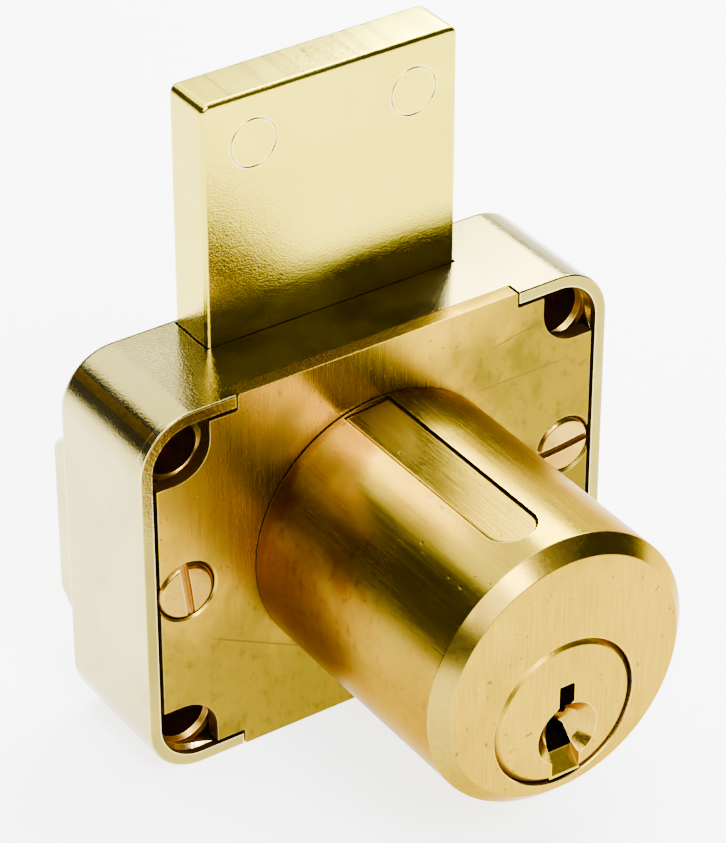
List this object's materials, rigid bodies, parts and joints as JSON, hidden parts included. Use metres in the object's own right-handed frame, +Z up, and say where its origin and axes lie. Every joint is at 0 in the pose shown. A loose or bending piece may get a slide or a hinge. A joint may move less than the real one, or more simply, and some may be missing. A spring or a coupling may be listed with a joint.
{
  "type": "drawer deadbolt lock",
  "caption": "Surface-mounted drawer lock: a round pin-tumbler barrel on a flat front plate, and a flat bolt that slides up out of a shallow rounded case.",
  "frame": {"origin": "centre of the whole lock in X and Y, at the bottom face of the case that it stands on", "axes": "+Z up, the way the bolt comes out; +Y from the keyed face of the barrel towards the back of the case; +X to the right as the key is offered"},
  "size_m": [0.0412, 0.0376, 0.0516],
  "materials": {
    "plated_case": "bright pale brass plating over a finely grained die casting",
    "plated_bolt": "bright pale brass plating over a finely grained die casting",
    "satin_brass_plate": "satin, fine upright brushing, tarnished in patches",
    "screw_brass": "bright, a little worn",
    "turned_brass": "turned and brushed, stained along its length",
    "strip_brass": "satin",
    "plug_brass": "fine brushed face",
    "pin_brass": "turned",
    "zinc_steel": "zinc plated",
    "spring_steel": "drawn wire and stamped strip"
  },
  "bodies": {
    "case": {"case_shell": "plated_case", "front_plate": "satin_brass_plate", "plate_screw_left": "screw_brass", "plate_screw_right": "screw_brass", "barrel": "turned_brass", "pin_cover_strip": "strip_brass", "pin_spring_1": "spring_steel", "pin_spring_2": "spring_steel", "pin_spring_3": "spring_steel", "pin_spring_4": "spring_steel", "pin_spring_5": "spring_steel"},
    "plug": {"plug": "plug_brass", "drive_cam": "zinc_steel", "crank_pin": "zinc_steel", "cam_washer": "spring_steel", "cam_screw": "zinc_steel"},
    "bolt": {"bolt": "plated_bolt"},
    "key_pin_1": {"key_pin_1": "pin_brass"},
    "driver_pin_1": {"driver_pin_1": "pin_brass"},
    "key_pin_2": {"key_pin_2": "pin_brass"},
    "driver_pin_2": {"driver_pin_2": "pin_brass"},
    "key_pin_3": {"key_pin_3": "pin_brass"},
    "driver_pin_3": {"driver_pin_3": "pin_brass"},
    "key_pin_4": {"key_pin_4": "pin_brass"},
    "driver_pin_4": {"driver_pin_4": "pin_brass"},
    "key_pin_5": {"key_pin_5": "pin_brass"},
    "driver_pin_5": {"driver_pin_5": "pin_brass"}
  },
  "joints": [
    {"name": "plug_turn", "type": "hinge", "parent": "case", "child": "plug", "pos_m": [0, 0, 0.01278], "axis": [0, 1, 0], "range_deg": [0, 120]},
    {"name": "bolt_slide", "type": "slide", "parent": "case", "child": "bolt", "axis": [0, 0, 1], "range_m": [-0.0192, 0]},
    {"name": "key_pin_1_lift", "type": "slide", "parent": "plug", "child": "key_pin_1", "axis": [-0.1063, 0, 0.9943], "range_m": [0, 0.0019]},
    {"name": "key_pin_2_lift", "type": "slide", "parent": "plug", "child": "key_pin_2", "axis": [-0.1063, 0, 0.9943], "range_m": [0, 0.0011]},
    {"name": "key_pin_3_lift", "type": "slide", "parent": "plug", "child": "key_pin_3", "axis": [-0.1063, 0, 0.9943], "range_m": [0, 0.0015]},
    {"name": "key_pin_4_lift", "type": "slide", "parent": "plug", "child": "key_pin_4", "axis": [-0.1063, 0, 0.9943], "range_m": [0, 0.0007]},
    {"name": "key_pin_5_lift", "type": "slide", "parent": "plug", "child": "key_pin_5", "axis": [-0.1063, 0, 0.9943], "range_m": [0, 0.0017]},
    {"name": "driver_pin_1_lift", "type": "slide", "parent": "case", "child": "driver_pin_1", "axis": [-0.1063, 0, 0.9943], "range_m": [0, 0.0012], "stiffness_N_per_m": 80, "springref_m": -0.001, "deforming": ["pin_spring_1"]},
    {"name": "driver_pin_2_lift", "type": "slide", "parent": "case", "child": "driver_pin_2", "axis": [-0.1063, 0, 0.9943], "range_m": [0, 0.0012], "stiffness_N_per_m": 80, "springref_m": -0.001, "deforming": ["pin_spring_2"]},
    {"name": "driver_pin_3_lift", "type": "slide", "parent": "case", "child": "driver_pin_3", "axis": [-0.1063, 0, 0.9943], "range_m": [0, 0.0012], "stiffness_N_per_m": 80, "springref_m": -0.001, "deforming": ["pin_spring_3"]},
    {"name": "driver_pin_4_lift", "type": "slide", "parent": "case", "child": "driver_pin_4", "axis": [-0.1063, 0, 0.9943], "range_m": [0, 0.0012], "stiffness_N_per_m": 80, "springref_m": -0.001, "deforming": ["pin_spring_4"]},
    {"name": "driver_pin_5_lift", "type": "slide", "parent": "case", "child": "driver_pin_5", "axis": [-0.1063, 0, 0.9943], "range_m": [0, 0.0012], "stiffness_N_per_m": 80, "springref_m": -0.001, "deforming": ["pin_spring_5"]}
  ],
  "couplings": [
    {"joint": "plug_turn", "follows": "bolt_slide", "rad_per_m": -109.08}
  ]
}
